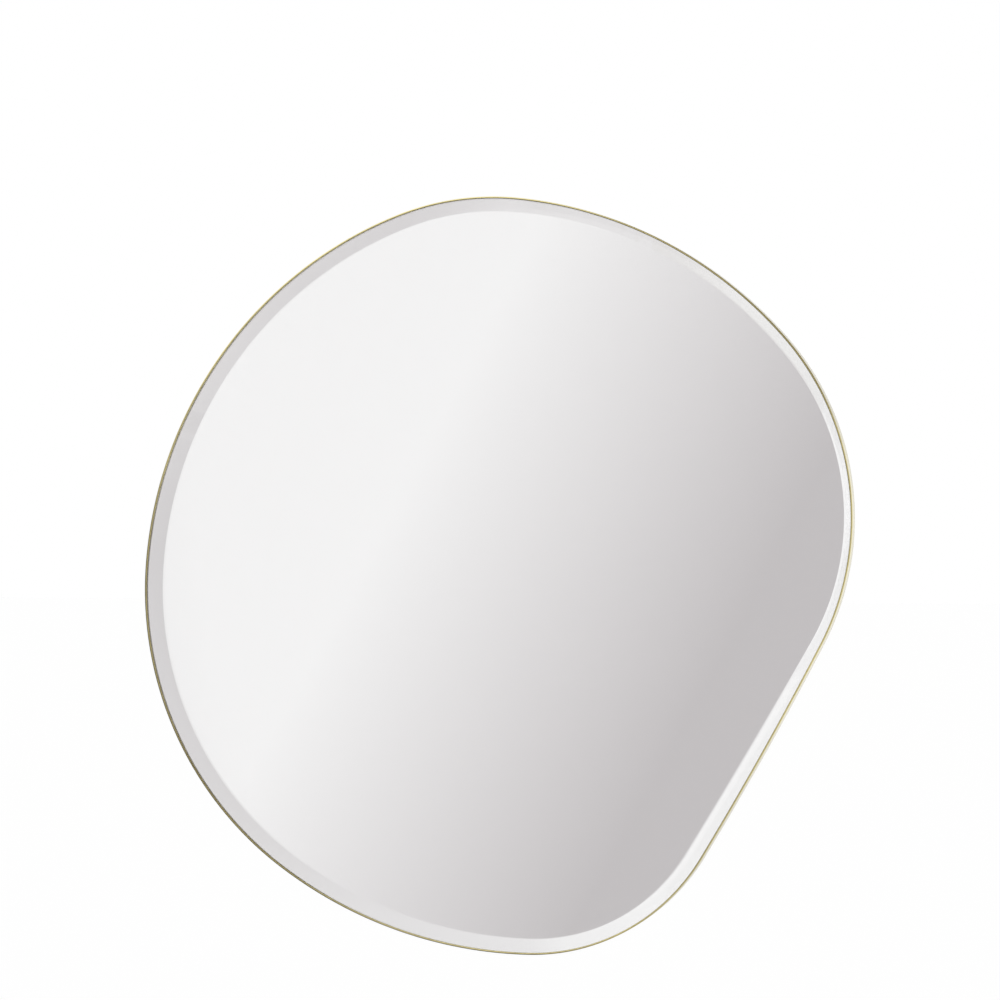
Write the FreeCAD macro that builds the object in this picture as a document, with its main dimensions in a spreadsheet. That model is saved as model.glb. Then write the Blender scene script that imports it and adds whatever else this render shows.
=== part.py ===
"""Pebble-shaped wall mirror: bevelled glass in a thin brass rim, hung on two keyhole plates.

Frame: +Z up, the glass faces -Y, and the wall is the plane y = 0.
The origin is on the wall, midway between the round mouths of the two keyholes.
A depth is a distance in front of the wall, so it runs along -Y.
"""
import FreeCAD
import Part
import Sketcher
import math
import os

Vector = FreeCAD.Vector

# Driving sizes in millimetres, angles in degrees.
DRIVING_SIZES = (
    # The outline is four corner circles, counter-clockwise from the front,
    # each joined to the next by a large tangent arc.
    ("right_x", 106, "centre of the right corner circle"),
    ("right_z", -133, "centre of the right corner circle"),
    ("right_radius", 291, "right corner circle"),
    ("right_join_radius", 454, "arc from the right corner to the top one"),
    ("top_x", 1, "centre of the top corner circle"),
    ("top_z", -80, "centre of the top corner circle"),
    ("top_radius", 293, "top corner circle"),
    ("top_join_radius", 441, "arc from the top corner to the left one"),
    ("left_x", -19, "centre of the left corner circle"),
    ("left_z", -213, "centre of the left corner circle"),
    ("left_radius", 370, "left corner circle"),
    ("left_join_radius", 478, "arc from the left corner to the bottom one"),
    ("bottom_x", 45, "centre of the bottom corner circle"),
    ("bottom_z", -380, "centre of the bottom corner circle"),
    ("bottom_radius", 223, "bottom corner circle"),
    ("bottom_join_radius", 4000, "nearly straight arc from the bottom corner to the right one"),
    # The bevel's inner line is drawn the same way. It stands further in at the left
    # than at the right, so the bevel is 19 mm wide there and 7 mm at the right.
    ("crease_right_x", 123, "centre of its right corner circle"),
    ("crease_right_z", -132, "centre of its right corner circle"),
    ("crease_right_radius", 265, "its right corner circle"),
    ("crease_right_join_radius", 430, "arc from its right corner to the top one"),
    ("crease_top_x", 2, "centre of its top corner circle"),
    ("crease_top_z", -69, "centre of its top corner circle"),
    ("crease_top_radius", 266, "its top corner circle"),
    ("crease_top_join_radius", 424, "arc from its top corner to the left one"),
    ("crease_left_x", -13, "centre of its left corner circle"),
    ("crease_left_z", -212, "centre of its left corner circle"),
    ("crease_left_radius", 355, "its left corner circle"),
    ("crease_left_join_radius", 464, "arc from its left corner to the bottom one"),
    ("crease_bottom_x", 47, "centre of its bottom corner circle"),
    ("crease_bottom_z", -385, "centre of its bottom corner circle"),
    ("crease_bottom_radius", 201, "its bottom corner circle"),
    ("crease_bottom_join_radius", 8000, "nearly straight arc from its bottom corner to the right one"),
    # Depths, from the wall outwards.
    ("standoff", 2, "gap between the wall and the board"),
    ("board_thick", 12, "backing board"),
    ("tape_thick", 0.8, "mounting tape"),
    ("silver_thick", 0.2, "silver and its protective paint"),
    ("glass_thick", 5, "mirror glass"),
    # Glass.
    ("fit_gap", 0.3, "gap between the rim and what it surrounds"),
    ("bevel_drop", 3, "ground bevel, down the edge"),
    # Rim.
    ("band_thick", 2, "brass bar bent round the edge"),
    ("band_edge", 0.4, "eased front edges of the band"),
    ("flange_thick", 2, "ring welded inside the band's rear edge"),
    ("flange_reach", 14, "from the band's outer face to the flange's inner edge"),
    ("flange_middle", 8, "from the band's outer face to the row of screws"),
    # Countersunk wood screw, used for the rim and for the hanger plates.
    ("screw_head", 7.5, "head diameter"),
    ("screw_shank", 3.5, "shank diameter"),
    ("screw_length", 10, "overall length"),
    ("drive_length", 4, "cross recess, end to end"),
    ("drive_width", 0.9, "cross recess, width of an arm"),
    ("drive_depth", 1.2, "cross recess, depth"),
    ("screw_clearance", 4.5, "hole in the metal for the shank"),
    ("pilot_bore", 3.6, "hole in the board for the shank"),
    ("pilot_depth", 9.5, "hole in the board for the shank"),
    # Keyhole plates.
    ("hanger_spacing", 400, "between the two keyholes"),
    ("plate_thick", 2, "steel plate"),
    ("plate_width", 20, "steel plate"),
    ("plate_length", 56, "steel plate"),
    ("plate_middle", 6, "height of the plate's middle above the round mouth"),
    ("plate_corner", 3, "cut corners of the plate"),
    ("mouth_radius", 5, "round mouth that a wall screw's head enters by"),
    ("slot_radius", 2.5, "half the slot's width"),
    ("slot_rise", 12, "from the mouth's centre to the slot's upper end centre"),
    ("plate_screw_low", -14, "height of the lower fixing screw"),
    ("plate_screw_high", 26, "height of the upper fixing screw"),
    ("pocket_radius", 7, "head pocket behind the keyhole, half its width"),
    ("pocket_depth", 8, "head pocket behind the keyhole"),
    # Mounting tape, in upright strips.
    ("tape_width", 25, "strip width"),
    ("tape_pitch", 90, "between strips"),
    ("tape_reach", 300, "radius of the circle that the strips' ends follow"),
    ("tape_centre_x", 4, "centre of that circle"),
    ("tape_centre_z", -190, "centre of that circle"),
    # Wall pads.
    ("pad_side", 20, "square felt pad"),
    ("pad_edge", 0.5, "eased wall edges"),
)

CORNERS = ("right", "top", "left", "bottom")

# The two closed lines that the corner circles and their joins draw.
OUTLINE = "Sizes."
CREASE = "Sizes.crease_"

# Screws that hold the rim to the board: the arc that each stands on, and its
# angle about that arc's centre, counter-clockwise from +X. They are evenly spread.
RIM_FIXINGS = (
    ("top_join", 123.8),
    ("left", 178.2),
    ("left_join", 240.8),
    ("bottom", 314.2),
    ("right", 350.9),
    ("right_join", 61.5),
)

PAD_PLACES = (
    ("wall_pad_top_left", -225, 70),
    ("wall_pad_top_right", 225, 70),
    ("wall_pad_bottom_left", -190, -480),
    ("wall_pad_bottom_right", 190, -440),
)

TAPE_STRIPS = 7

# Expressions on the driving sizes that several sub-parts share.
BOARD_BACK = "Sizes.standoff"
BOARD_FRONT = "(Sizes.standoff + Sizes.board_thick)"
SILVER_BACK = "(Sizes.standoff + Sizes.board_thick + Sizes.tape_thick)"
GLASS_BACK = "(Sizes.standoff + Sizes.board_thick + Sizes.tape_thick + Sizes.silver_thick)"
BAND_WIDTH = "(Sizes.board_thick + Sizes.tape_thick + Sizes.silver_thick + Sizes.glass_thick)"
INNER_INSET = "(Sizes.band_thick + Sizes.fit_gap)"
FIELD_INSET = "(Sizes.flange_reach + Sizes.fit_gap)"
WALL = "0"

DOC = FreeCAD.newDocument("PebbleMirror")
SHEET = DOC.addObject("Spreadsheet::Sheet", "Sizes")


def fill_sheet():
    """Put the driving sizes in the spreadsheet: name, value and meaning."""
    for row, (alias, value, meaning) in enumerate(DRIVING_SIZES, start=1):
        SHEET.set("A%d" % row, alias)
        SHEET.set("B%d" % row, str(value))
        SHEET.set("C%d" % row, meaning)
        SHEET.setAlias("B%d" % row, alias)
    DOC.recompute()


def value(expression):
    """The number that an expression on the driving sizes comes to."""
    return float(SHEET.evalExpression(expression))


def new_body(name):
    body = DOC.addObject("PartDesign::Body", name)
    body.Label = name
    return body


def new_sketch(body, name, depth):
    """A sketch parallel to the wall, at a depth given as an expression; its normal points to the front."""
    sketch = body.newObject("Sketcher::SketchObject", name)
    plane = [item for item in body.Origin.OriginFeatures if item.Role == "XZ_Plane"][0]
    sketch.AttachmentSupport = (plane, "")
    sketch.MapMode = "FlatFace"
    sketch.setExpression("AttachmentOffset.Base.z", depth)
    return sketch


def bind(sketch, constraint, expression):
    """Add a dimension and drive it from the sheet."""
    index = sketch.addConstraint(constraint)
    name = "size_%d" % index
    sketch.renameConstraint(index, name)
    sketch.setExpression("Constraints." + name, expression)


def place_centre(sketch, item, x, z):
    """Fix the centre of a circle or an arc."""
    bind(sketch, Sketcher.Constraint("DistanceX", -1, 1, item, 3, value(x)), x)
    bind(sketch, Sketcher.Constraint("DistanceY", -1, 1, item, 3, value(z)), z)


def add_circle(sketch, x, z, radius):
    centre = Vector(value(x), value(z), 0)
    item = sketch.addGeometry(Part.Circle(centre, Vector(0, 0, 1), value(radius)))
    place_centre(sketch, item, x, z)
    bind(sketch, Sketcher.Constraint("Radius", item, value(radius)), radius)
    return item


def direction(start, end):
    return math.atan2(end.y - start.y, end.x - start.x)


def outline_arcs(inset, line=OUTLINE):
    """A closed line drawn in by inset millimetres, as arcs counter-clockwise from the right corner.

    Each is (name, centre, radius, first angle, last angle) in the sketch's plane.
    """
    centres = [Vector(value(line + n + "_x"), value(line + n + "_z"), 0) for n in CORNERS]
    radii = [value(line + n + "_radius") for n in CORNERS]
    joins = [value(line + n + "_join_radius") for n in CORNERS]
    join_centres = []
    for i, join in enumerate(joins):
        here = centres[i]
        there = centres[(i + 1) % len(CORNERS)]
        between = there - here
        near = join - radii[i]
        far = join - radii[(i + 1) % len(CORNERS)]
        along = (between.Length ** 2 + near ** 2 - far ** 2) / (2 * between.Length)
        across = math.sqrt(near ** 2 - along ** 2)
        unit = between / between.Length
        join_centres.append(here + unit * along + Vector(-unit.y, unit.x, 0) * across)
    arcs = []
    for i, name in enumerate(CORNERS):
        first = direction(join_centres[i - 1], centres[i])
        middle = direction(join_centres[i], centres[i])
        last = direction(join_centres[i], centres[(i + 1) % len(CORNERS)])
        middle += 2 * math.pi * (middle < first)
        last += 2 * math.pi * (last < middle)
        arcs.append((name, centres[i], radii[i] - inset, first, middle))
        arcs.append((name + "_join", join_centres[i], joins[i] - inset, middle, last))
    return arcs


def add_outline(sketch, inset, line=OUTLINE, construction=False):
    """Draw a closed line, drawn in by an expression, and constrain it fully from the sheet."""
    items = {}
    for name, centre, radius, first, last in outline_arcs(value(inset), line):
        circle = Part.Circle(centre, Vector(0, 0, 1), radius)
        items[name] = sketch.addGeometry(Part.ArcOfCircle(circle, first, last), construction)
    chain = list(items.values())
    for this, following in zip(chain, chain[1:] + chain[:1]):
        sketch.addConstraint(Sketcher.Constraint("Tangent", this, 2, following, 1))
    for name in CORNERS:
        place_centre(sketch, items[name], line + name + "_x", line + name + "_z")
    for name, item in items.items():
        radius = "%s%s_radius - %s" % (line, name, inset)
        bind(sketch, Sketcher.Constraint("Radius", item, value(radius)), radius)
    return items


def add_fixing_circles(sketch, radius):
    """A circle at each rim screw, on a spoke from the centre of the arc that carries it."""
    items = add_outline(sketch, "Sizes.flange_middle", construction=True)
    arcs = {arc[0]: arc for arc in outline_arcs(value("Sizes.flange_middle"))}
    for name, degrees in RIM_FIXINGS:
        centre = arcs[name][1]
        reach = arcs[name][2]
        angle = math.radians(degrees)
        point = centre + Vector(math.cos(angle), math.sin(angle), 0) * reach
        spoke = sketch.addGeometry(Part.LineSegment(centre, point), True)
        hole = sketch.addGeometry(Part.Circle(point, Vector(0, 0, 1), value(radius)))
        sketch.addConstraint(Sketcher.Constraint("Coincident", spoke, 1, items[name], 3))
        sketch.addConstraint(Sketcher.Constraint("Coincident", hole, 3, spoke, 2))
        length = "Sizes.%s_radius - Sizes.flange_middle" % name
        bind(sketch, Sketcher.Constraint("Distance", spoke, reach), length)
        sketch.addConstraint(Sketcher.Constraint("Angle", spoke, angle))
        bind(sketch, Sketcher.Constraint("Radius", hole, value(radius)), radius)


def fixing_points():
    """Where the rim screws stand, in the wall's plane."""
    arcs = {arc[0]: arc for arc in outline_arcs(value("Sizes.flange_middle"))}
    points = []
    for name, degrees in RIM_FIXINGS:
        angle = math.radians(degrees)
        ray = Vector(math.cos(angle), math.sin(angle), 0)
        point = arcs[name][1] + ray * arcs[name][2]
        points.append(Vector(point.x, 0, point.y))
    return points


def add_rectangle(sketch, width, height):
    """A rectangle about the sketch's origin."""
    half_width = value(width) / 2
    half_height = value(height) / 2
    corners = [
        Vector(-half_width, -half_height, 0),
        Vector(half_width, -half_height, 0),
        Vector(half_width, half_height, 0),
        Vector(-half_width, half_height, 0),
    ]
    for start, end in zip(corners, corners[1:] + corners[:1]):
        sketch.addGeometry(Part.LineSegment(start, end))
    for this, following in ((0, 1), (1, 2), (2, 3), (3, 0)):
        sketch.addConstraint(Sketcher.Constraint("Coincident", this, 2, following, 1))
    for level in (0, 2):
        sketch.addConstraint(Sketcher.Constraint("Horizontal", level))
    for upright in (1, 3):
        sketch.addConstraint(Sketcher.Constraint("Vertical", upright))
    sketch.addConstraint(Sketcher.Constraint("Symmetric", 0, 1, 1, 2, -1, 1))
    bind(sketch, Sketcher.Constraint("DistanceX", 0, 1, 0, 2, 2 * half_width), width)
    bind(sketch, Sketcher.Constraint("DistanceY", 1, 1, 1, 2, 2 * half_height), height)


def add_upright_slot(sketch, x, low, high, radius):
    """A round-ended slot with its long sides upright, between two end centres."""
    middle = value(x)
    bottom = value(low)
    top = value(high)
    half = value(radius)
    lower = Part.Circle(Vector(middle, bottom, 0), Vector(0, 0, 1), half)
    upper = Part.Circle(Vector(middle, top, 0), Vector(0, 0, 1), half)
    right = Part.LineSegment(Vector(middle + half, bottom, 0), Vector(middle + half, top, 0))
    left = Part.LineSegment(Vector(middle - half, top, 0), Vector(middle - half, bottom, 0))
    chain = [
        sketch.addGeometry(Part.ArcOfCircle(lower, math.pi, 2 * math.pi)),
        sketch.addGeometry(right),
        sketch.addGeometry(Part.ArcOfCircle(upper, 0, math.pi)),
        sketch.addGeometry(left),
    ]
    for this, following in zip(chain, chain[1:] + chain[:1]):
        sketch.addConstraint(Sketcher.Constraint("Tangent", this, 2, following, 1))
    place_centre(sketch, chain[0], x, low)
    place_centre(sketch, chain[2], x, high)
    bind(sketch, Sketcher.Constraint("Radius", chain[0], half), radius)
    sketch.addConstraint(Sketcher.Constraint("Equal", chain[0], chain[2]))


def pad(body, sketch, thickness, name="Pad"):
    """Add material from the sketch towards the front."""
    feature = body.newObject("PartDesign::Pad", name)
    feature.Profile = sketch
    feature.setExpression("Length", thickness)
    return feature


def pocket(body, sketch, depth, name="Pocket"):
    """Remove material from the sketch towards the front, and check that some went."""
    before = body.Shape.Volume
    feature = body.newObject("PartDesign::Pocket", name)
    feature.Profile = sketch
    feature.Reversed = True
    feature.setExpression("Length", depth)
    DOC.recompute()
    if not body.Shape.Volume < before:
        raise RuntimeError("%s of %s cuts nothing" % (name, body.Label))
    return feature


def countersink(body, sketch, name="ScrewHoles"):
    """Countersunk holes through the plate, entered from the wall side."""
    before = body.Shape.Volume
    feature = body.newObject("PartDesign::Hole", name)
    feature.Profile = sketch
    DOC.recompute()
    feature.Reversed = True
    feature.DepthType = "ThroughAll"
    feature.setExpression("Diameter", "Sizes.screw_clearance")
    feature.HoleCutType = "Countersink"
    feature.HoleCutCountersinkAngle = 90
    feature.setExpression("HoleCutDiameter", "Sizes.screw_head")
    DOC.recompute()
    if not body.Shape.Volume < before:
        raise RuntimeError("%s of %s cuts nothing" % (name, body.Label))
    return feature


def edges_at(shape, depth):
    """Names of the edges that lie wholly at a depth in front of the wall."""
    names = []
    for number, edge in enumerate(shape.Edges, start=1):
        box = edge.BoundBox
        if abs(box.YMin + depth) < 1e-4 and abs(box.YMax + depth) < 1e-4:
            names.append("Edge%d" % number)
    return names


def edges_along_y(shape):
    """Names of the edges that run square to the wall."""
    names = []
    for number, edge in enumerate(shape.Edges, start=1):
        box = edge.BoundBox
        if box.XLength < 1e-4 and box.ZLength < 1e-4:
            names.append("Edge%d" % number)
    return names


def make_glass():
    """Five-millimetre glass with a bevel ground round its front edge, from the outline in to the crease."""
    body = new_body("mirror_glass")
    edge_height = "Sizes.glass_thick - Sizes.bevel_drop"
    outline = new_sketch(body, "GlassOutline", GLASS_BACK)
    add_outline(outline, INNER_INSET)
    pad(body, outline, edge_height, "GlassEdge")
    DOC.recompute()
    before = body.Shape.Volume
    foot = new_sketch(body, "BevelFoot", GLASS_BACK + " + " + edge_height)
    add_outline(foot, INNER_INSET)
    crease = new_sketch(body, "Crease", GLASS_BACK + " + Sizes.glass_thick")
    add_outline(crease, "0", CREASE)
    bevel = body.newObject("PartDesign::AdditiveLoft", "Bevel")
    bevel.Profile = foot
    bevel.Sections = [crease]
    bevel.Ruled = True
    DOC.recompute()
    if not body.Shape.Volume > before:
        raise RuntimeError("the bevelled front of the glass adds nothing")
    return body


def make_silver():
    """The silvered and painted back of the glass."""
    body = new_body("silver_coating")
    sketch = new_sketch(body, "SilverOutline", SILVER_BACK)
    add_outline(sketch, INNER_INSET)
    pad(body, sketch, "Sizes.silver_thick")
    return body


def make_rim_band():
    """Brass bar on edge, bent round the board and the glass and flush with the glass face."""
    body = new_body("rim_band")
    sketch = new_sketch(body, "BandSection", BOARD_BACK)
    add_outline(sketch, "0")
    add_outline(sketch, "Sizes.band_thick")
    band = pad(body, sketch, BAND_WIDTH)
    DOC.recompute()
    front = value(BOARD_BACK) + value(BAND_WIDTH)
    eased = body.newObject("PartDesign::Chamfer", "FrontEdges")
    eased.Base = (band, edges_at(band.Shape, front))
    eased.setExpression("Size", "Sizes.band_edge")
    return body


def make_rim_flange():
    """Flat ring welded inside the rear of the band, with countersunk holes for the screws."""
    body = new_body("rim_flange")
    sketch = new_sketch(body, "FlangeSection", BOARD_BACK)
    add_outline(sketch, "Sizes.band_thick")
    add_outline(sketch, "Sizes.flange_reach")
    pad(body, sketch, "Sizes.flange_thick")
    DOC.recompute()
    holes = new_sketch(body, "FixingHoles", BOARD_BACK)
    add_fixing_circles(holes, "Sizes.screw_clearance / 2")
    countersink(body, holes)
    return body


def make_board():
    """Fibreboard back: a step round its rear edge for the flange, head pockets and pilot holes."""
    body = new_body("backing_board")
    step = "(Sizes.standoff + Sizes.flange_thick)"
    main = new_sketch(body, "BoardOutline", step)
    add_outline(main, INNER_INSET)
    pad(body, main, "Sizes.board_thick - Sizes.flange_thick", "Board")
    field = new_sketch(body, "RearField", BOARD_BACK)
    add_outline(field, FIELD_INSET)
    pad(body, field, "Sizes.flange_thick", "RearField")
    DOC.recompute()
    pockets = new_sketch(body, "HeadPockets", BOARD_BACK)
    for side in ("-", ""):
        x = side + "Sizes.hanger_spacing / 2"
        add_upright_slot(pockets, x, "0", "Sizes.slot_rise", "Sizes.pocket_radius")
    pocket(body, pockets, "Sizes.pocket_depth", "HeadPocket")
    pilots = new_sketch(body, "PlatePilots", BOARD_BACK)
    for side in ("-", ""):
        for height in ("Sizes.plate_screw_low", "Sizes.plate_screw_high"):
            x = side + "Sizes.hanger_spacing / 2"
            add_circle(pilots, x, height, "Sizes.pilot_bore / 2")
    pocket(body, pilots, "Sizes.pilot_depth", "PlatePilot")
    rim_pilots = new_sketch(body, "RimPilots", step)
    add_fixing_circles(rim_pilots, "Sizes.pilot_bore / 2")
    pocket(body, rim_pilots, "Sizes.pilot_depth - Sizes.flange_thick", "RimPilot")
    return body


def make_tape_strips():
    """Upright strips of double-sided tape; their ends follow a circle inside the outline."""
    bodies = []
    for index in range(TAPE_STRIPS):
        body = new_body("tape_strip_%d" % (index + 1))
        shift = "Sizes.tape_pitch * %s" % (index - (TAPE_STRIPS - 1) / 2)
        length = "2 * sqrt(Sizes.tape_reach ^ 2 - (%s) ^ 2)" % shift
        body.setExpression("Placement.Base.x", "Sizes.tape_centre_x + " + shift)
        body.setExpression("Placement.Base.z", "Sizes.tape_centre_z")
        sketch = new_sketch(body, "Strip%dOutline" % (index + 1), BOARD_FRONT)
        add_rectangle(sketch, "Sizes.tape_width", length)
        pad(body, sketch, "Sizes.tape_thick")
        bodies.append(body)
    return bodies


def make_hanger_plate(name, side):
    """Steel keyhole plate: the wall screw's head goes in by the round mouth and up behind the slot."""
    body = new_body(name)
    body.setExpression("Placement.Base.x", side + "Sizes.hanger_spacing / 2")
    outline = new_sketch(body, name + "_outline", WALL)
    outline.setExpression("AttachmentOffset.Base.y", "Sizes.plate_middle")
    add_rectangle(outline, "Sizes.plate_width", "Sizes.plate_length")
    blank = pad(body, outline, "Sizes.plate_thick")
    DOC.recompute()
    corners = body.newObject("PartDesign::Chamfer", "Corners")
    corners.Base = (blank, edges_along_y(blank.Shape))
    corners.setExpression("Size", "Sizes.plate_corner")
    DOC.recompute()
    mouth = new_sketch(body, name + "_mouth", WALL)
    add_circle(mouth, "0", "0", "Sizes.mouth_radius")
    pocket(body, mouth, "Sizes.plate_thick", "Mouth")
    slot = new_sketch(body, name + "_slot", WALL)
    add_upright_slot(slot, "0", "0", "Sizes.slot_rise", "Sizes.slot_radius")
    pocket(body, slot, "Sizes.plate_thick", "Slot")
    holes = new_sketch(body, name + "_holes", WALL)
    for height in ("Sizes.plate_screw_low", "Sizes.plate_screw_high"):
        add_circle(holes, "0", height, "Sizes.screw_clearance / 2")
    countersink(body, holes)
    return body


def make_screw():
    """Countersunk screw with a cross recess and a plain shank: head face at depth 0, shank to the front."""
    body = new_body("screw_pattern")
    sketch = body.newObject("Sketcher::SketchObject", "ScrewProfile")
    plane = [item for item in body.Origin.OriginFeatures if item.Role == "XY_Plane"][0]
    sketch.AttachmentSupport = (plane, "")
    sketch.MapMode = "FlatFace"
    head = value("Sizes.screw_head") / 2
    shank = value("Sizes.screw_shank") / 2
    length = value("Sizes.screw_length")
    corners = [
        Vector(0, 0, 0),
        Vector(head, 0, 0),
        Vector(shank, shank - head, 0),
        Vector(shank, -length, 0),
        Vector(0, -length, 0),
    ]
    for start, end in zip(corners, corners[1:] + corners[:1]):
        sketch.addGeometry(Part.LineSegment(start, end))
    for this, following in ((0, 1), (1, 2), (2, 3), (3, 4), (4, 0)):
        sketch.addConstraint(Sketcher.Constraint("Coincident", this, 2, following, 1))
    sketch.addConstraint(Sketcher.Constraint("Coincident", 0, 1, -1, 1))
    for level in (0, 3):
        sketch.addConstraint(Sketcher.Constraint("Horizontal", level))
    for upright in (2, 4):
        sketch.addConstraint(Sketcher.Constraint("Vertical", upright))
    bind(sketch, Sketcher.Constraint("DistanceX", 0, 1, 0, 2, head), "Sizes.screw_head / 2")
    bind(sketch, Sketcher.Constraint("DistanceX", -1, 1, 2, 1, shank), "Sizes.screw_shank / 2")
    bind(
        sketch,
        Sketcher.Constraint("DistanceY", 2, 1, -1, 1, head - shank),
        "(Sizes.screw_head - Sizes.screw_shank) / 2",
    )
    bind(sketch, Sketcher.Constraint("DistanceY", 4, 1, 4, 2, length), "Sizes.screw_length")
    turned = body.newObject("PartDesign::Revolution", "Turned")
    turned.Profile = sketch
    turned.ReferenceAxis = (sketch, ["V_Axis"])
    turned.Angle = 360
    DOC.recompute()
    for name, width, height in (
        ("LevelArm", "Sizes.drive_length", "Sizes.drive_width"),
        ("UprightArm", "Sizes.drive_width", "Sizes.drive_length"),
    ):
        arm = new_sketch(body, name + "Outline", WALL)
        add_rectangle(arm, width, height)
        pocket(body, arm, "Sizes.drive_depth", name)
    return body


def make_screw_group(name, screw, places):
    """Like screws as one sub-part of separate solids."""
    copies = []
    for place in places:
        one = screw.Shape.copy()
        one.translate(place)
        copies.append(one)
    group = DOC.addObject("Part::Feature", name)
    group.Label = name
    group.Shape = Part.makeCompound(copies)
    group.Placement = FreeCAD.Placement()
    return group


def make_wall_pads():
    """Square felt pads that keep the board off the wall."""
    bodies = []
    for name, x, z in PAD_PLACES:
        body = new_body(name)
        body.Placement.Base = Vector(x, 0, z)
        sketch = new_sketch(body, name + "_outline", WALL)
        add_rectangle(sketch, "Sizes.pad_side", "Sizes.pad_side")
        blank = pad(body, sketch, "Sizes.standoff")
        DOC.recompute()
        eased = body.newObject("PartDesign::Chamfer", "WallEdges")
        eased.Base = (blank, edges_at(blank.Shape, 0))
        eased.setExpression("Size", "Sizes.pad_edge")
        bodies.append(body)
    return bodies


def check_document():
    """Stop on any object that did not build."""
    for item in DOC.Objects:
        if "Invalid" in item.State or "Error" in item.State:
            raise RuntimeError("%s did not build: %s" % (item.Label, item.State))


def write_parts(parts):
    os.makedirs("parts", exist_ok=True)
    for part in parts:
        if part.Shape.isNull() or not part.Shape.isValid():
            raise RuntimeError("%s has no valid shape" % part.Label)
    for part in parts:
        part.Shape.exportStep(os.path.join("parts", part.Label + ".step"))
        box = part.Shape.BoundBox
        print(
            "%-22s %2d solids %9.1f cm3  x %.1f..%.1f  y %.1f..%.1f  z %.1f..%.1f"
            % (
                part.Label,
                len(part.Shape.Solids),
                part.Shape.Volume / 1000,
                box.XMin,
                box.XMax,
                box.YMin,
                box.YMax,
                box.ZMin,
                box.ZMax,
            )
        )


def main():
    fill_sheet()
    parts = [make_glass(), make_silver(), make_board(), make_rim_band(), make_rim_flange()]
    parts += make_tape_strips()
    parts.append(make_hanger_plate("hanger_plate_left", "-"))
    parts.append(make_hanger_plate("hanger_plate_right", ""))
    parts += make_wall_pads()
    screw = make_screw()
    DOC.recompute()
    back = Vector(0, -value(BOARD_BACK), 0)
    parts.append(make_screw_group("rim_screws", screw, [p + back for p in fixing_points()]))
    half = value("Sizes.hanger_spacing") / 2
    heights = (value("Sizes.plate_screw_low"), value("Sizes.plate_screw_high"))
    places = [Vector(x, 0, z) for x in (-half, half) for z in heights]
    parts.append(make_screw_group("hanger_screws", screw, places))
    DOC.recompute()
    check_document()
    write_parts(parts)


main()
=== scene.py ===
"""Looks of a pebble-shaped wall mirror.

Bevelled glass lies in a thin brass rim on a fibreboard back, which hangs on two keyhole plates.
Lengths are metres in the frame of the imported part: +Z up, the glass faces -Y, the wall is y = 0.
"""
import math

import bmesh
import bpy
from bpy.props import FloatProperty, FloatVectorProperty, IntProperty, PointerProperty
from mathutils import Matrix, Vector, noise


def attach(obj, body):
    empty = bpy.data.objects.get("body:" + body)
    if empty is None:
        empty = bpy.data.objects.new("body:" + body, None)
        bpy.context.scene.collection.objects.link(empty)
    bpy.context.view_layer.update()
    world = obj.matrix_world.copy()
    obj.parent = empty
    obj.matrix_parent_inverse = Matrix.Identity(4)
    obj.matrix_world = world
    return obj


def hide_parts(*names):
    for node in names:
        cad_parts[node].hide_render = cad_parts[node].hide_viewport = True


bl_info = {
    "name": "Pebble wall mirror",
    "version": (1, 0, 0),
    "blender": (4, 5, 0),
    "location": "View3D > Sidebar > Pebble mirror",
    "description": "Dresses the solids of a pebble-shaped wall mirror and sets its stage",
    "category": "Object",
}

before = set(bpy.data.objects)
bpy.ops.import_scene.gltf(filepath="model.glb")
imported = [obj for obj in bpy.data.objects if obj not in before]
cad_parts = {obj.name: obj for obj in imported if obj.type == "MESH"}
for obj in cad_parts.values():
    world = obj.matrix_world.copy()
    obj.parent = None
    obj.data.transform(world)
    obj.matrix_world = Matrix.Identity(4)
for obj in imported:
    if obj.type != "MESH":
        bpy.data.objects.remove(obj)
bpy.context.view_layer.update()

MM = 0.001

# Two closed lines, each four corner circles counter-clockwise from the right one: centre x and z,
# radius, and the radius of the large tangent arc that joins it to the next, in millimetres.
OUTLINE = ((106, -133, 291, 454), (1, -80, 293, 441), (-19, -213, 370, 478), (45, -380, 223, 4000))
CREASE = ((123, -132, 265, 430), (2, -69, 266, 424), (-13, -212, 355, 464), (47, -385, 201, 8000))

# Arcs of a line, in the order in which they follow one another.
RIGHT, RIGHT_JOIN, TOP, TOP_JOIN, LEFT, LEFT_JOIN, BOTTOM, BOTTOM_JOIN = range(8)

# The rim's screws: the arc that each stands on, and its angle about that arc's centre.
RIM_FIXINGS = (
    (TOP_JOIN, 123.8),
    (LEFT, 178.2),
    (LEFT_JOIN, 240.8),
    (BOTTOM, 314.2),
    (RIGHT, 350.9),
    (RIGHT_JOIN, 61.5),
)

# How far in from the outline the flange's screws stand, in millimetres.
FLANGE_MIDDLE = 8

# Where the band's two ends meet, on the bottom arc.
BAND_JOINT = (BOTTOM, 272.6)

# Places on the back, in millimetres: hanger plates, their screws, and wall pads.
HANGER_X = (-200, 200)
PLATE_SCREW_Z = (-14, 26)
PAD_PLACES = ((-225, 70), (225, 70), (-190, -480), (190, -440))

# Points of a mesh that are nearer than this are one.
MERGE = 1e-6

# The four corners of a square, and the six faces of a block whose corners go round one
# end and then round the other.
SQUARE = ((-1, -1), (1, -1), (1, 1), (-1, 1))
BLOCK_FACES = ((0, 1, 2, 3), (7, 6, 5, 4), (0, 4, 5, 1), (1, 5, 6, 2), (2, 6, 7, 3), (3, 7, 4, 0))

# Parts of a mask's values, about its middle, that are stretched over a whole range.
NARROW_SPAN = (0.35, 0.65)
WIDE_SPAN = (0.3, 0.7)

WHITE = (1, 1, 1, 1)
OCHRE = (1, 0.8, 0.22, 1)
FLOOR_GREY = (0.8, 0.8, 0.8, 1)

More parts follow.
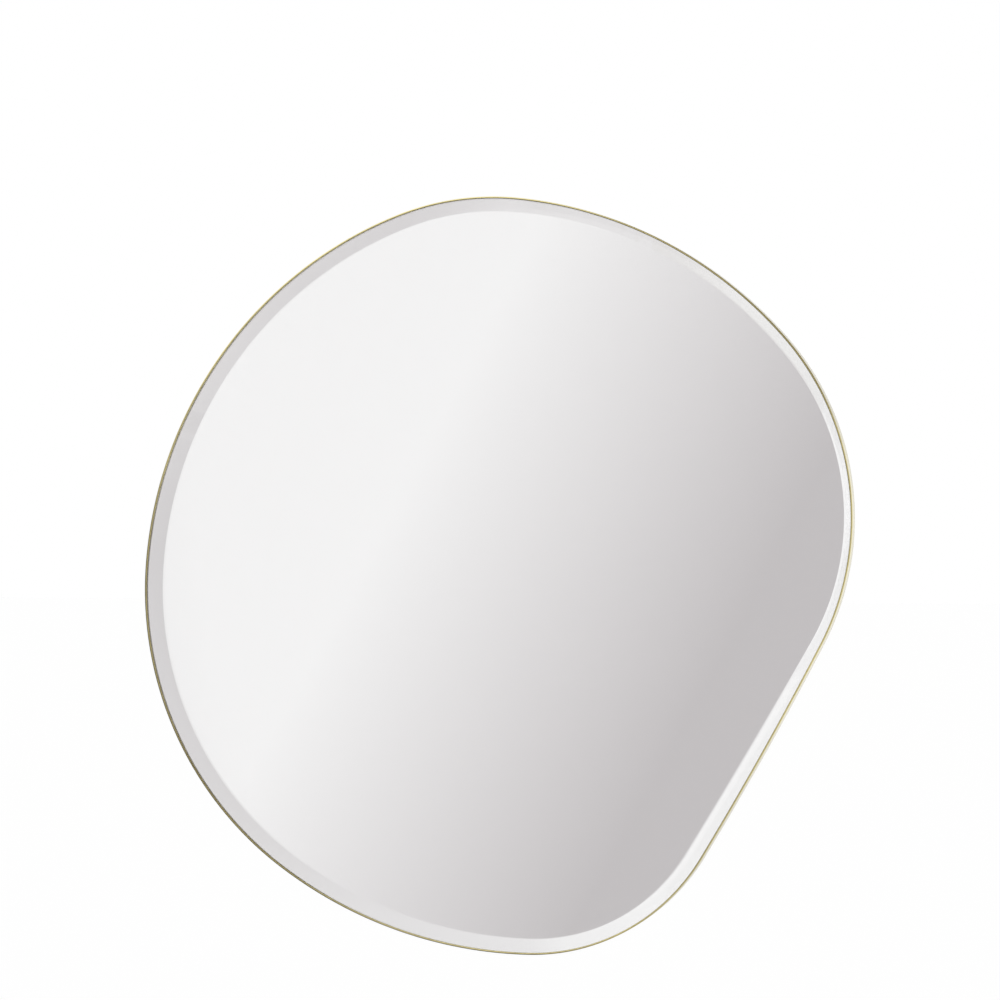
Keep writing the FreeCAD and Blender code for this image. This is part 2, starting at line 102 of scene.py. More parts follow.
# How far the floor reaches to each side, and the light that lifts it to white where it is seen.
FLOOR_REACH = 60
FLOOR_LIFT = 0.24

# Middle of the mirror, about which the studio wall and the cards stand.
MIDDLE = (0, 0, -0.195)

# The studio wall: the angles over which it reaches up and down and to the sides, in degrees.
WALL_TILTS = (-70, 80)
WALL_TURNS = (-110, 110)

# The direction across the soft edge between its light and its shade, and how far along that
# direction the edge lies. The window and the wall's foot have soft edges too, in x and in z.
WALL_SLANT = (0.891, 0, -0.454)
LIT_TO_SHADED = (-0.252, -0.115)
WINDOW_EDGE = (-0.6, -0.76)
FOOT_EDGE = (-0.172, -0.187)

# Cards that glow round the mirror out of view and show only in reflections, where they paint
# dark, ochre and bright reflections into the rim: name, first and last angle about the mirror's
# middle, how far their edges stand in front of the wall, colour and brightness.
REFLECTED_CARDS = (
    ("dark_card", 158, 285, -0.9, 1.45, WHITE, 0.1),
    ("ochre_card", 20, 82, -0.9, 1.2, OCHRE, 0.25),
    ("bright_card_top", 76, 166, -0.3, 1.5, WHITE, 2),
    ("bright_card_side", -50, 30, -2.4, 2, WHITE, 1.4),
)
CARD_RADIUS = 0.8

# Share of a card's size over which it fades to white at each edge.
CARD_FADE = 0.16


def length(default, name, description):
    """A length property in metres, from a default in millimetres."""
    return FloatProperty(
        name=name, description=description, default=default * MM, min=0, unit="LENGTH", precision=5
    )


def colour(default, name, description):
    return FloatVectorProperty(
        name=name, description=description, default=default, size=3, min=0, max=1, subtype="COLOR"
    )


def brightness(default, name, description):
    return FloatProperty(name=name, description=description, default=default, min=0)


def metres(default, name, description):
    return FloatProperty(name=name, description=description, default=default, unit="LENGTH")


class GlassSettings(bpy.types.PropertyGroup):
    back: length(15, "Back", "Distance of the glass's back from the wall")
    thickness: length(5, "Thickness", "Thickness of the glass")
    bevel_drop: length(3, "Bevel drop", "How far the ground bevel falls at the glass's edge")
    rim_gap: length(2.05, "Edge inset", "From the rim's outer face to the glass's edge")
    coat: length(0.2, "Silver and paint", "Thickness of the coating on the back of the glass")
    film: length(0.02, "Film", "Optical gap between the glass and its silver")
    spacing: length(3, "Spacing", "Distance between the points of the outline")
    tint: colour((0.989, 0.989, 0.989), "Tint", "Colour that the glass gives to light passing it")
    ground: colour((0.93, 0.94, 0.93), "Ground edge", "Colour of the glass's ground edge")
    silver: colour((0.95, 0.945, 0.945), "Silver", "Colour of the silver")
    paint: colour((0.17, 0.175, 0.18), "Backing paint", "Colour of the paint over the silver")


class RimSettings(bpy.types.PropertyGroup):
    width: length(18, "Width", "Width of the band, from the wall side to the front")
    thickness: length(2, "Thickness", "Thickness of the band")
    back: length(2, "Back", "Distance of the band's rear edge from the wall")
    edge_radius: length(0.9, "Edge radius", "Rounding of the band's long edges")
    joint: length(0.15, "Joint", "Gap where the band's two ends meet")
    brass: colour((0.45, 0.39, 0.18), "Brass", "Colour of the brass")
    roughness: FloatProperty(
        name="Roughness", description="Roughness of the brushed brass", default=0.25, min=0, max=1
    )


class BackSettings(bpy.types.PropertyGroup):
    screw_head: length(3.75, "Screw head", "Radius of a screw's head")
    screw_shank: length(1.75, "Screw shank", "Radius of a screw's shank")
    screw_length: length(10, "Screw length", "Overall length of a screw")
    turn_seed: IntProperty(
        name="Turn seed", description="Picks how far each screw is turned", default=7, min=0
    )
    plate_edge: length(0.25, "Plate edge", "Rounding of the hanger plates' edges")
    pad_side: length(20, "Pad side", "Side of a square felt pad")
    pad_thickness: length(2, "Pad thickness", "Thickness of a felt pad")
    board: colour((0.46, 0.33, 0.21), "Fibreboard", "Colour of the board")
    plate: colour((0.44, 0.445, 0.44), "Plate", "Colour of the hanger plates' zinc plating")
    screw: colour((0.3, 0.295, 0.28), "Screw", "Colour of the screws' zinc plating")
    felt: colour((0.11, 0.105, 0.1), "Felt", "Colour of the wall pads")
    tape: colour((0.8, 0.8, 0.78), "Foam tape", "Colour of the mounting tape")


class StageSettings(bpy.types.PropertyGroup):
    azimuth: FloatProperty(
        name="Camera azimuth",
        description="How far to the right of square the camera stands",
        default=math.radians(14),
        subtype="ANGLE",
    )
    distance: metres(4, "Camera distance", "From the aim to the camera")
    lens: FloatProperty(
        name="Focal length", description="Lens of the camera, in millimetres", default=133.75
    )
    aim: FloatVectorProperty(
        name="Aim",
        description="Point in the middle of the frame",
        default=(0.0149, -0.02, -0.1141),
        size=3,
        subtype="TRANSLATION",
    )
    floor: metres(-1.9, "Floor", "Height of the floor")
    ambient: brightness(0.72, "Ambient light", "Strength of the even light")
    key: brightness(1.1, "Key light", "Strength of the soft key")
    surround: metres(9, "Surround radius", "Distance of the studio wall that the mirror shows")
    wall_light: brightness(0.975, "Wall, lit", "Brightness of the lit side of that wall")
    wall_shade: brightness(0.588, "Wall, shaded", "Brightness of the shaded side of that wall")
    wall_tone: colour((1, 0.967, 0.979), "Wall tone", "Colour of the shaded side of that wall")
    wall_window: brightness(
        1.35, "Wall, window", "Brightness of its far left end, which only the right bevel shows"
    )


class PebbleMirror(bpy.types.PropertyGroup):
    glass: PointerProperty(type=GlassSettings, name="Glass", description="Glass and silver")
    rim: PointerProperty(type=RimSettings, name="Rim", description="Brass band and flange")
    back: PointerProperty(type=BackSettings, name="Back", description="Board, hangers and pads")
    stage: PointerProperty(type=StageSettings, name="Stage", description="Camera, floor, light")


# Outline


def line_arcs(line):
    """The arcs of a closed line: centre, radius, first angle and last angle, in millimetres."""
    count = len(line)
    centres = [Vector(corner[:2]) for corner in line]
    join_centres = []
    for i, (_, _, radius, join) in enumerate(line):
        span = centres[(i + 1) % count] - centres[i]
        near = join - radius
        far = join - line[(i + 1) % count][2]
        along = (span.length_squared + near**2 - far**2) / (2 * span.length)
        across = math.sqrt(near**2 - along**2)
        unit = span.normalized()
        join_centres.append(centres[i] + unit * along + Vector((-unit.y, unit.x)) * across)
    arcs = []
    for i, (_, _, radius, join) in enumerate(line):
        first = heading(join_centres[i - 1], centres[i])
        middle = heading(join_centres[i], centres[i])
        last = heading(join_centres[i], centres[(i + 1) % count])
        middle += math.tau * (middle < first)
        last += math.tau * (last < middle)
        arcs.append((centres[i], radius, first, middle))
        arcs.append((join_centres[i], join, middle, last))
    return arcs


def heading(start, end):
    return math.atan2(end.y - start.y, end.x - start.x)


def line_point(arc, inset, angle):
    """A point at an angle on an arc drawn in by an inset, all in millimetres."""
    centre, radius = arc[:2]
    return centre + Vector((math.cos(angle), math.sin(angle))) * (radius - inset)


def part_way(start, end, step, steps):
    """A value that is some of the steps on the way from start to end."""
    return start + (end - start) * step / steps


def closed_line(line, inset, spacing):
    """Points along a closed line; every line gets the same number, so that two can be joined."""
    points = []
    for arc, pace in zip(line_arcs(line), line_arcs(OUTLINE)):
        steps = max(2, round(pace[1] * (pace[3] - pace[2]) / spacing))
        for step in range(steps):
            points.append(line_point(arc, inset, part_way(*arc[2:], step, steps)))
    return points


def ring(line, inset, depth, spacing):
    """A closed line as points in space, at a distance in front of the wall."""
    return [Vector((p.x * MM, -depth, p.y * MM)) for p in closed_line(line, inset, spacing)]


# Meshes


def new_object(name, mesh):
    piece = bpy.data.objects.new(name, mesh)
    bpy.context.scene.collection.objects.link(piece)
    return piece


def raw_mesh(name, points, edges=(), faces=()):
    mesh = bpy.data.meshes.new(name)
    mesh.from_pydata(points, edges, faces)
    return mesh


def mesh_from(name, build):
    """A mesh named name, from a function that fills a bmesh; its faces are turned outwards."""
    shape = bmesh.new()
    build(shape)
    bmesh.ops.recalc_face_normals(shape, faces=shape.faces)
    mesh = bpy.data.meshes.new(name)
    shape.to_mesh(mesh)
    shape.free()
    return mesh


def fill_shell(shape, rings):
    """Faces between neighbouring rings, and a flat face over each end ring."""
    rows = [[shape.verts.new(point) for point in points] for points in rings]
    for row, following in zip(rows, rows[1:]):
        for i in range(len(row)):
            j = (i + 1) % len(row)
            shape.faces.new((row[i], row[j], following[j], following[i]))
    shape.faces.new(rows[0])
    shape.faces.new(rows[-1])


def smooth(mesh, sharp_degrees):
    mesh.shade_smooth()
    mesh.set_sharp_from_angle(angle=math.radians(sharp_degrees))


def dress(piece, nodes):
    """Put a finished piece on the fixed body, in place of the solids that it stands for."""
    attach(piece, "root")
    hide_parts(*nodes)


def baked(piece):
    """The piece with its modifiers worked out, as a plain mesh."""
    depsgraph = bpy.context.evaluated_depsgraph_get()
    mesh = bpy.data.meshes.new_from_object(
        piece.evaluated_get(depsgraph), preserve_all_data_layers=True, depsgraph=depsgraph
    )
    piece.modifiers.clear()
    piece.data = mesh
    mesh.name = piece.name
    return piece


def grown(name, seed, tree, values):
    """Run a Geometry Nodes tree on a seed mesh and keep the result as a plain mesh."""
    piece = new_object(name, seed)
    modifier = piece.modifiers.new(tree.name, "NODES")
    modifier.node_group = tree
    for item in tree.interface.items_tree:
        if item.in_out == "INPUT" and item.name in values:
            modifier[item.identifier] = values[item.name]
    return baked(piece)


# Node trees


def new_group(name, kind, inputs, outputs):
    """A node group with named sockets; an input is (name, socket type, default)."""
    tree = bpy.data.node_groups.new(name, kind)
    for label, socket, default in inputs:
        item = tree.interface.new_socket(name=label, in_out="INPUT", socket_type=socket)
        if default is not None:
            item.default_value = default
    for label, socket in outputs:
        tree.interface.new_socket(name=label, in_out="OUTPUT", socket_type=socket)
    return tree


def plug(tree, node, inputs):
    """Feed a node's inputs, each with a value or from another node's output."""
    for key, source in inputs.items():
        if isinstance(source, bpy.types.NodeSocket):
            tree.links.new(source, node.inputs[key])
        else:
            node.inputs[key].default_value = source


def add_node(tree, kind, inputs=None, **settings):
    """A node with its settings and inputs."""
    node = tree.nodes.new(kind)
    for key, setting in settings.items():
        setattr(node, key, setting)
    plug(tree, node, inputs or {})
    return node


def calc(tree, operation, *terms):
    """A Math node's result."""
    node = add_node(tree, "ShaderNodeMath", dict(enumerate(terms)), operation=operation)
    return node.outputs[0]


def vector_calc(tree, operation, *terms):
    """A Vector Math node's result, which is a number for a dot product."""
    node = add_node(tree, "ShaderNodeVectorMath", dict(enumerate(terms)), operation=operation)
    return node.outputs["Value" if operation == "DOT_PRODUCT" else "Vector"]


def blended(tree, factor, first, second):
    """A number between two others."""
    return add_node(tree, "ShaderNodeMix", {0: factor, 2: first, 3: second}).outputs[0]


def mixed(tree, factor, first, second):
    """A colour between two others."""
    return add_node(
        tree, "ShaderNodeMix", {0: factor, 6: first, 7: second}, data_type="RGBA"
    ).outputs[2]


def ranged(tree, source, low, high, start=0.0, end=1.0):
    """A value carried from one range to another and held there."""
    return add_node(
        tree, "ShaderNodeMapRange", {0: source, 1: low, 2: high, 3: start, 4: end}
    ).outputs[0]


def noise_at(tree, vector, scale, detail, roughness=0.5):
    """Smooth noise about 0.5 at a place."""
    return add_node(
        tree,
        "ShaderNodeTexNoise",
        {"Vector": vector, "Scale": scale, "Detail": detail, "Roughness": roughness},
    ).outputs[0]


def rgba(three):
    return (*three, 1)


def shade(three, factor):
    return tuple(min(1, channel * factor) for channel in three)


def toned(tree, mask, base, dark, light):
    """A colour between a darker and a lighter shade of a base colour."""
    return mixed(tree, mask, rgba(shade(base, dark)), rgba(shade(base, light)))


def use_group(tree, name, sockets, output, fill, inputs):
    """Place a shared shader group in a material and return its one result.

    The function fill builds the group's inside when the group is first used.
    """
    group = bpy.data.node_groups.get(name)
    if group is None:
        group = new_group(name, "ShaderNodeTree", sockets, ((output, "NodeSocketFloat"),))
        result = fill(group, add_node(group, "NodeGroupInput").outputs)
        add_node(group, "NodeGroupOutput", {output: result})
    return add_node(tree, "ShaderNodeGroup", inputs, node_tree=group).outputs[0]


def mottle(tree, vector, patches, specks, speck_share=0.4):
    """Cloudy unevenness: a mask about 0.5, from broad patches and fine specks."""

    def fill(group, entry):
        broad = noise_at(group, entry["Vector"], entry["Patches"], 4.0)
        fine = noise_at(group, entry["Vector"], entry["Specks"], 2.0)
        return blended(group, entry["Speck share"], broad, fine)

    sockets = (
        ("Vector", "NodeSocketVector", None),
        ("Patches", "NodeSocketFloat", 20),
        ("Specks", "NodeSocketFloat", 600),
        ("Speck share", "NodeSocketFloat", 0.4),
    )
    inputs = {"Vector": vector, "Patches": patches, "Specks": specks, "Speck share": speck_share}
    return use_group(tree, "Mottle", sockets, "Mask", fill, inputs)


def grain(tree, vector, along, across):
    """Brushed streaks: a mask about 0.5 that is stretched along the vector's first axis."""

    def fill(group, entry):
        stretch = add_node(
            group,
            "ShaderNodeCombineXYZ",
            {0: entry["Along"], 1: entry["Across"], 2: entry["Across"]},
        ).outputs[0]
        place = vector_calc(group, "MULTIPLY", entry["Vector"], stretch)
        return noise_at(group, place, 1.0, 5.0, 0.6)

    sockets = (
        ("Vector", "NodeSocketVector", None),
        ("Along", "NodeSocketFloat", 12),
        ("Across", "NodeSocketFloat", 2500),
    )
    inputs = {"Vector": vector, "Along": along, "Across": across}
    return use_group(tree, "Brushed grain", sockets, "Streaks", fill, inputs)


def rubbed_edge(tree, width):
    """Rubbed edges: a mask that is 1 on a sharp edge and 0 a little way from it."""

    def fill(group, entry):
        rounded = add_node(group, "ShaderNodeBevel", {"Radius": entry["Width"]}, samples=4)
        flat = add_node(group, "ShaderNodeNewGeometry").outputs["Normal"]
        agree = vector_calc(group, "DOT_PRODUCT", rounded.outputs[0], flat)
        return ranged(group, agree, 1.0, 0.9)

    sockets = (("Width", "NodeSocketFloat", 0.0006),)
    return use_group(tree, "Rubbed edge", sockets, "Mask", fill, {"Width": width})


def blank_tree(owner):
    """The emptied node tree of a material or a world."""
    owner.use_nodes = True
    owner.node_tree.nodes.clear()
    return owner.node_tree


def new_material(name, kind="ShaderNodeBsdfPrincipled"):
    """A material with only one shader: the material, its tree and the shader."""
    material = bpy.data.materials.new(name)
    tree = blank_tree(material)
    shader = tree.nodes.new(kind)
    add_node(tree, "ShaderNodeOutputMaterial", {"Surface": shader.outputs[0]})
    return material, tree, shader


def own_place(tree):
    """Object coordinates: a piece's own place in metres."""
    return add_node(tree, "ShaderNodeTexCoord").outputs["Object"]


def along_band(tree):
    """Place along and across the band, from its own map."""
    return add_node(tree, "ShaderNodeUVMap", uv_map="Band").outputs[0]


def bump(tree, shader, height, strength, distance):
    relief = add_node(
        tree, "ShaderNodeBump", {"Strength": strength, "Distance": distance, "Height": height}
    )
    plug(tree, shader, {"Normal": relief.outputs[0]})


def set_node_materials(names, material):
    """Give carried-over solids their material."""
    for name in names:
        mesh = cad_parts[name].data
        mesh.materials.clear()
        mesh.materials.append(material)


# Materials


def glass_material(settings):
    """Polished glass with the faintest smear of dust."""
    material, tree, shader = new_material("Mirror glass")
    smear = mottle(tree, own_place(tree), patches=9, specks=260, speck_share=0.35)
    look = {
        "Base Color": rgba(settings.tint),
        "Roughness": ranged(tree, smear, 0.5, 0.8, 0.0, 0.03),
        "IOR": 1.52,
        "Transmission Weight": 1,
    }
    plug(tree, shader, look)
    return material


def ground_edge_material(settings):
    """The glass's ground edge: pale and matt, with fine marks of the wheel."""
    material, tree, shader = new_material("Ground glass edge")
    marks = mottle(tree, own_place(tree), patches=300, specks=4000)
    look = {
        "Base Color": toned(tree, marks, settings.ground, 0.88, 1.12),
        "Roughness": ranged(tree, marks, *WIDE_SPAN, 0.45, 0.7),
    }
    plug(tree, shader, look)
    return material


def silver_material(settings):
    """Mirror silver, very slightly uneven."""
    material, tree, shader = new_material("Mirror silver")
    cloud = mottle(tree, own_place(tree), patches=3, specks=40, speck_share=0.15)
    look = {
        "Base Color": toned(tree, cloud, settings.silver, 0.995, 1),
        "Metallic": 1,
        "Roughness": 0,
    }
    plug(tree, shader, look)
    return material


def paint_material(settings):
    """Grey protective paint over the silver."""
    material, tree, shader = new_material("Backing paint")
    cloud = mottle(tree, own_place(tree), patches=14, specks=900, speck_share=0.5)
    look = {"Base Color": toned(tree, cloud, settings.paint, 0.8, 1.2), "Roughness": 0.5}
    plug(tree, shader, look)
    bump(tree, shader, cloud, strength=0.3, distance=0.0001)
    return material


def brass_material(settings, name, vector_source, along, across):
    """Brushed brass under thin lacquer, rubbed brighter on its edges."""
    material, tree, shader = new_material(name)
    streaks = grain(tree, vector_source(tree), along, across)
    cloud = mottle(tree, own_place(tree), patches=24, specks=500, speck_share=0.3)
    tarnish = toned(tree, ranged(tree, cloud, *NARROW_SPAN), settings.brass, 0.86, 1.08)
    rubbed = calc(tree, "MULTIPLY", rubbed_edge(tree, 0.0005), 0.35)
    smoother = settings.roughness - 0.07
    rougher = settings.roughness + 0.09
    look = {
        "Base Color": mixed(tree, rubbed, tarnish, rgba(shade(settings.brass, 1.3))),
        "Metallic": 1,
        "Roughness": ranged(tree, streaks, *WIDE_SPAN, smoother, rougher),
        "Coat Weight": 0.6,
        "Coat Roughness": 0.12,
    }
    plug(tree, shader, look)
    bump(tree, shader, streaks, strength=0.25, distance=0.00002)
    return material


def steel_material(name, steel):
    """Zinc plating with a faint bluish and yellowish bloom."""
    material, tree, shader = new_material(name)
    place = own_place(tree)
    cloud = mottle(tree, place, patches=60, specks=1400, speck_share=0.35)
    streaks = grain(tree, place, along=120, across=1600)
    bluish, yellowish = (
        rgba(tuple(channel * share for channel, share in zip(steel, tint)))
        for tint in ((0.82, 0.88, 0.97), (1.1, 1.05, 0.93))
    )
    bloom = mixed(tree, ranged(tree, cloud, *NARROW_SPAN), bluish, yellowish)
    rubbed = calc(tree, "MULTIPLY", rubbed_edge(tree, 0.0004), 0.5)
    look = {
        "Base Color": mixed(tree, rubbed, bloom, rgba(shade(steel, 1.4))),
        "Metallic": 1,
        "Roughness": ranged(tree, streaks, *WIDE_SPAN, 0.24, 0.42),
    }
    plug(tree, shader, look)
    bump(tree, shader, streaks, strength=0.2, distance=0.00003)
    return material


def board_material(settings):
    """Pressed fibreboard: pale and dark fibres in every direction."""
    material, tree, shader = new_material("Fibreboard")
    place = own_place(tree)
    cloud = mottle(tree, place, patches=16, specks=1100, speck_share=0.6)
    angle = calc(tree, "MULTIPLY", noise_at(tree, place, 90.0, 2.0), 9.0)
    turned = add_node(
        tree, "ShaderNodeVectorRotate", {"Vector": place, "Angle": angle, "Axis": (0, 1, 0)}
    ).outputs[0]
    fibres = grain(tree, turned, along=260, across=2600)
    base = toned(tree, ranged(tree, cloud, *NARROW_SPAN), settings.board, 0.82, 1.12)
    pale = ranged(tree, fibres, 0.58, 0.72, 0.0, 0.55)
    look = {
        "Base Color": mixed(tree, pale, base, rgba(shade(settings.board, 1.5))),
        "Roughness": ranged(tree, fibres, *WIDE_SPAN, 0.72, 0.9),
    }
    plug(tree, shader, look)
    bump(tree, shader, fibres, strength=0.35, distance=0.0001)
    return material


def felt_material(settings):
    """Dense grey felt of light and dark wool."""
    material, tree, shader = new_material("Grey felt")
    cloud = mottle(tree, own_place(tree), patches=400, specks=3200, speck_share=0.5)
    look = {
        "Base Color": toned(tree, ranged(tree, cloud, *NARROW_SPAN), settings.felt, 0.6, 1.9),
        "Roughness": 0.95,
        "Sheen Weight": 0.3,
    }
    plug(tree, shader, look)
    bump(tree, shader, cloud, strength=0.8, distance=0.0003)
    return material


def tape_material(settings):
    """White closed-cell foam tape."""
    material, tree, shader = new_material("Foam tape")
    cells = add_node(
        tree, "ShaderNodeTexVoronoi", {"Vector": own_place(tree), "Scale": 2400.0}
    ).outputs["Distance"]
    look = {
        "Base Color": toned(tree, ranged(tree, cells, 0.0, 0.7), settings.tape, 0.9, 1.05),
        "Roughness": 0.6,
    }
    plug(tree, shader, look)
    bump(tree, shader, cells, strength=0.3, distance=0.0001)
    return material


# Pieces


def shell_piece(name, rings, materials, choose):
    """A closed shell through rings; choose picks a face's material by how far it faces +Y."""
    mesh = mesh_from(name, lambda shape: fill_shell(shape, rings))
    smooth(mesh, 4)
    for material in materials:
        mesh.materials.append(material)
    for face in mesh.polygons:
        face.material_index = choose(face.normal.y)
    return new_object(name, mesh)


class MIRROR_OT_glass(bpy.types.Operator):
    """Make the bevelled glass"""

    bl_idname = "pebble_mirror.glass"
    bl_label = "Glass"

    def execute(self, context):
        settings = context.scene.pebble_mirror.glass
        inset = settings.rim_gap / MM
        spacing = settings.spacing / MM
        front = settings.back + settings.thickness
        rings = (
            ring(OUTLINE, inset, settings.back, spacing),
            ring(OUTLINE, inset, front - settings.bevel_drop, spacing),
            ring(CREASE, 0, front, spacing),
        )
        materials = glass_material(settings), ground_edge_material(settings)
        pane = shell_piece("glass_pane", rings, materials, lambda way: int(abs(way) < 0.1))
        dress(pane, ["mirror_glass"])
        return {"FINISHED"}


class MIRROR_OT_silver(bpy.types.Operator):
    """Make the silvered and painted back of the glass"""

    bl_idname = "pebble_mirror.silver"
    bl_label = "Silver"

    def execute(self, context):
        settings = context.scene.pebble_mirror.glass
        inset = settings.rim_gap / MM
        spacing = settings.spacing / MM
        rings = (
            ring(OUTLINE, inset, settings.back - settings.coat, spacing),
            ring(OUTLINE, inset, settings.back - settings.film, spacing),
        )
        materials = silver_material(settings), paint_material(settings)
        back = shell_piece("silvered_back", rings, materials, lambda way: int(way >= -0.5))
        dress(back, ["silver_coating"])
        return {"FINISHED"}


def store(tree, geometry, name, value, kind="FLOAT", domain="POINT"):
    """The geometry with a value kept on it under a name."""
    return add_node(
        tree,
        "GeometryNodeStoreNamedAttribute",
        {"Geometry": geometry, "Name": name, "Value": value},
        data_type=kind,
        domain=domain,
    ).outputs[0]


def end_geometry(tree, geometry, material):
    """End a tree in real geometry that has its material."""
    real = add_node(tree, "GeometryNodeRealizeInstances", {0: geometry}).outputs[0]
    dressed = add_node(
        tree, "GeometryNodeSetMaterial", {"Geometry": real, "Material": material}
    ).outputs[0]
    add_node(tree, "NodeGroupOutput", {"Geometry": dressed})


def band_tree():
    """Geometry Nodes: a bar with rounded edges swept along a level path, then stood upright.

    How far a point lies along the path and across the bar is kept in the map "Band".
    """
    tree = new_group(
        "Band along a path",
        "GeometryNodeTree",
        (
            ("Geometry", "NodeSocketGeometry", None),
            ("Thickness", "NodeSocketFloat", 0.002),
            ("Width", "NodeSocketFloat", 0.018),
            ("Edge radius", "NodeSocketFloat", 0.0006),
            ("Depth", "NodeSocketFloat", 0.011),
            ("Material", "NodeSocketMaterial", None),
        ),
        (("Geometry", "NodeSocketGeometry"),),
    )
    entry = add_node(tree, "NodeGroupInput").outputs
    path = add_node(tree, "GeometryNodeMeshToCurve", {0: entry["Geometry"]}).outputs[0]
    bar = add_node(
        tree,
        "GeometryNodeCurvePrimitiveQuadrilateral",
        {"Width": entry["Thickness"], "Height": entry["Width"]},
        mode="RECTANGLE",
    ).outputs[0]
    bar = add_node(
        tree,
        "GeometryNodeFilletCurve",
        {"Curve": bar, "Count": 6, "Radius": entry["Edge radius"]},
        mode="POLY",
    ).outputs[0]
    run = add_node(tree, "GeometryNodeSplineParameter").outputs["Length"]
    band = add_node(
        tree,
        "GeometryNodeCurveToMesh",
        {
            "Curve": store(tree, path, "along", run),
            "Profile Curve": store(tree, bar, "across", run),
            "Fill Caps": True,
        },
    ).outputs[0]
    runs = [
        add_node(
            tree, "GeometryNodeInputNamedAttribute", {"Name": name}, data_type="FLOAT"
        ).outputs[0]
        for name in ("along", "across")
    ]
    place = add_node(tree, "ShaderNodeCombineXYZ", dict(enumerate(runs))).outputs[0]
    band = store(tree, band, "Band", place, "FLOAT2", "CORNER")
    for name in ("along", "across"):
        band = add_node(
            tree, "GeometryNodeRemoveAttribute", {"Geometry": band, "Name": name}
        ).outputs[0]
    shift = add_node(
        tree, "ShaderNodeCombineXYZ", {1: calc(tree, "MULTIPLY", entry["Depth"], -1.0)}
    ).outputs[0]
    band = add_node(
        tree,
        "GeometryNodeTransform",
        {"Geometry": band, "Translation": shift, "Rotation": (math.pi / 2, 0, 0)},
    ).outputs[0]
    end_geometry(tree, band, entry["Material"])
    return tree


class MIRROR_OT_rim(bpy.types.Operator):
    """Make the brass band that is bent round the edge, and finish its flange"""

    bl_idname = "pebble_mirror.rim"
    bl_label = "Rim"

    def execute(self, context):
        settings = context.scene.pebble_mirror
        rim = settings.rim
        middle = rim.thickness / 2 / MM
        spacing = settings.glass.spacing / MM
        arcs = line_arcs(OUTLINE)
        joint = line_point(arcs[BAND_JOINT[0]], middle, math.radians(BAND_JOINT[1]))
        points = closed_line(OUTLINE, middle, spacing)
        first = min(range(len(points)), key=lambda i: (points[i] - joint).length)
        points = points[first:] + points[: first + 1]
        half_gap = rim.joint / MM / 2
        points[0] = points[0] + (points[1] - points[0]).normalized() * half_gap
        points[-1] = points[-1] + (points[-2] - points[-1]).normalized() * half_gap
        path = raw_mesh(
            "band_path",
            [(p.x * MM, p.y * MM, 0) for p in points],
            edges=[(i, i + 1) for i in range(len(points) - 1)],
        )
        brass = brass_material(rim, "Brushed brass band", along_band, 14.0, 2600.0)
        band = grown(
            "brass_band",
            path,
            band_tree(),
            {
                "Thickness": rim.thickness,
                "Width": rim.width,
                "Edge radius": rim.edge_radius,
                "Depth": rim.back + rim.width / 2,
                "Material": brass,
            },
        )
        outward(band.data)
        smooth(band.data, 35)
        dress(band, ["rim_band"])
        flange = brass_material(rim, "Brushed brass flange", own_place, 60.0, 1800.0)
        set_node_materials(["rim_flange"], flange)
        return {"FINISHED"}


def outward(mesh):
    """Join a mesh's doubled points and turn its faces outwards."""
    shape = bmesh.new()
    shape.from_mesh(mesh)
    bmesh.ops.remove_doubles(shape, verts=shape.verts, dist=MERGE)
    bmesh.ops.recalc_face_normals(shape, faces=shape.faces)
    if shape.calc_volume(signed=True) < 0:
        bmesh.ops.reverse_faces(shape, faces=shape.faces)
    shape.to_mesh(mesh)
    shape.free()


def scatter_tree():
    """Geometry Nodes: one pattern at every point, each turned about its own axis."""
    tree = new_group(
        "Pattern at points",
        "GeometryNodeTree",
        (
            ("Geometry", "NodeSocketGeometry", None),
            ("Pattern", "NodeSocketObject", None),
            ("Turn", "NodeSocketFloat", 0.0),
            ("Seed", "NodeSocketInt", 0),
            ("Material", "NodeSocketMaterial", None),
        ),
        (("Geometry", "NodeSocketGeometry"),),
    )
    entry = add_node(tree, "NodeGroupInput").outputs
    pattern = add_node(tree, "GeometryNodeObjectInfo", {"Object": entry["Pattern"]})
    turn = add_node(
        tree,
        "FunctionNodeRandomValue",
        {2: 0.0, 3: entry["Turn"], "Seed": entry["Seed"]},
        data_type="FLOAT",
    ).outputs[1]
    spin = add_node(tree, "ShaderNodeCombineXYZ", {1: turn}).outputs[0]
    copies = add_node(
        tree,
        "GeometryNodeInstanceOnPoints",
        {"Points": entry["Geometry"], "Instance": pattern.outputs["Geometry"], "Rotation": spin},
    ).outputs[0]
    end_geometry(tree, copies, entry["Material"])
    return tree


def lathe(shape, profile, segments):
    """Turn a profile of (radius, y) about the Y axis; it starts and ends on the axis."""
    rows = []
    for radius, y in profile[1:-1]:
        row = []
        for i in range(segments):
            angle = math.tau * i / segments
            row.append(shape.verts.new((radius * math.cos(angle), y, radius * math.sin(angle))))
        rows.append(row)
    first = shape.verts.new((0, profile[0][1], 0))
    last = shape.verts.new((0, profile[-1][1], 0))
    for i in range(segments):
        j = (i + 1) % segments
        shape.faces.new((first, rows[0][i], rows[0][j]))
        shape.faces.new((last, rows[-1][j], rows[-1][i]))
        for row, following in zip(rows, rows[1:]):
            shape.faces.new((row[i], following[i], following[j], row[j]))


def fill_wedge(shape, turned):
    """One arm of a cross recess, as a block to cut away: it narrows towards its bottom."""
    half_length = 0.0021
    half_width = 0.00048
    depth = 0.0017
    proud = 0.0004
    bottom_share = 0.45
    corners = []
    for y, share in ((proud, 1.0), (-depth, bottom_share)):
        for side_x, side_z in SQUARE:
            x = side_x * half_length * share
            z = side_z * half_width * (0.5 + 0.5 * share)
            corners.append(shape.verts.new((z, y, x) if turned else (x, y, z)))
    for face in BLOCK_FACES:
        shape.faces.new([corners[i] for i in face])


